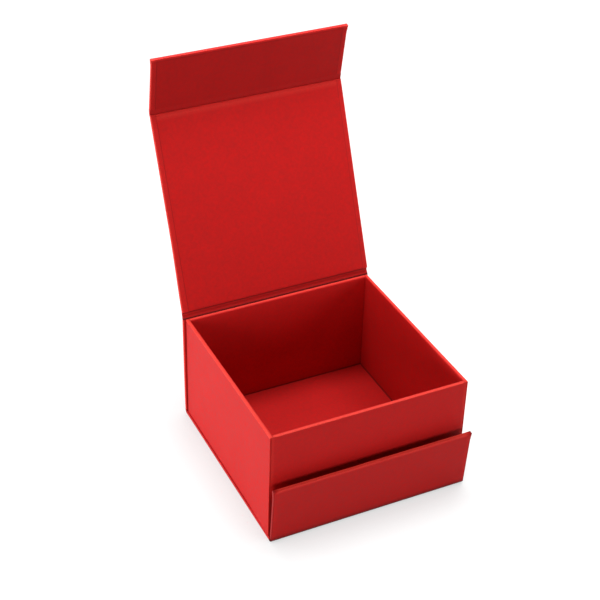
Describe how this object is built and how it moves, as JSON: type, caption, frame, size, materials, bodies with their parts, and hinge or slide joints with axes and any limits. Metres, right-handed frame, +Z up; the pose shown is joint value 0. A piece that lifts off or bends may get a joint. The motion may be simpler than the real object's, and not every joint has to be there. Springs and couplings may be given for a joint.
{
  "type": "gift box",
  "caption": "Rigid gift box: an open tray on a wrap-round case with hinged spine, lid and flaps that close over the front and hold by hidden magnets.",
  "frame": {"origin": "on the table, under the centre of the tray, on the underside of the base panel", "axes": "+Z up, +X to the right along the front wall, +Y from the front towards the spine and lid"},
  "size_m": [0.152, 0.2168, 0.2741],
  "materials": {
    "red_paper": "matte",
    "lining_paper": "matte",
    "greyboard": "matte",
    "gummed_paper": "matte",
    "nickel_plate": "satin",
    "steel": "satin"
  },
  "bodies": {
    "box": {"base_board": "greyboard", "base_cover": "red_paper", "base_lining": "lining_paper", "spine_hinge": "red_paper", "lower_flap_hinge": "red_paper", "tray_front_board": "greyboard", "tray_right_board": "greyboard", "tray_back_board": "greyboard", "tray_left_board": "greyboard", "tray_front_cover": "red_paper", "tray_right_cover": "red_paper", "tray_back_cover": "red_paper", "tray_left_cover": "red_paper", "tray_floor_board": "greyboard", "tray_floor_lining": "lining_paper", "corner_stay_front_left": "gummed_paper", "corner_stay_front_right": "gummed_paper", "corner_stay_back_right": "gummed_paper", "corner_stay_back_left": "gummed_paper", "keeper_left": "steel", "keeper_right": "steel"},
    "spine": {"spine_board": "greyboard", "spine_cover": "red_paper", "spine_lining": "lining_paper", "lid_hinge": "red_paper"},
    "lid": {"lid_board": "greyboard", "lid_cover": "red_paper", "lid_lining": "lining_paper", "lid_flap_hinge": "red_paper"},
    "lid_flap": {"lid_flap_board": "greyboard", "lid_flap_cover": "red_paper", "lid_flap_lining": "lining_paper", "magnet_left": "nickel_plate", "magnet_right": "nickel_plate"},
    "lower_flap": {"lower_flap_board": "greyboard", "lower_flap_cover": "red_paper", "lower_flap_lining": "lining_paper"}
  },
  "joints": [
    {"name": "spine_fold", "type": "hinge", "parent": "box", "child": "spine", "pos_m": [0, 0.0763, 0.00069], "axis": [-1, 0, 0], "range_deg": [0, 90.5], "deforming": ["spine_hinge"]},
    {"name": "lid_fold", "type": "hinge", "parent": "spine", "child": "lid", "pos_m": [0, 0.07567, 0.09017], "axis": [-1, 0, 0], "range_deg": [-112.5, 67.5], "deforming": ["lid_hinge"]},
    {"name": "lid_flap_fold", "type": "hinge", "parent": "lid", "child": "lid_flap", "pos_m": [0, 0.13297, 0.2298], "axis": [1, 0, 0], "range_deg": [-32.4, 57.6], "deforming": ["lid_flap_hinge"]},
    {"name": "lower_flap_fold", "type": "hinge", "parent": "box", "child": "lower_flap", "pos_m": [0, -0.0787, 0.00065], "axis": [1, 0, 0], "range_deg": [-4.4, 85.6], "deforming": ["lower_flap_hinge"]}
  ]
}
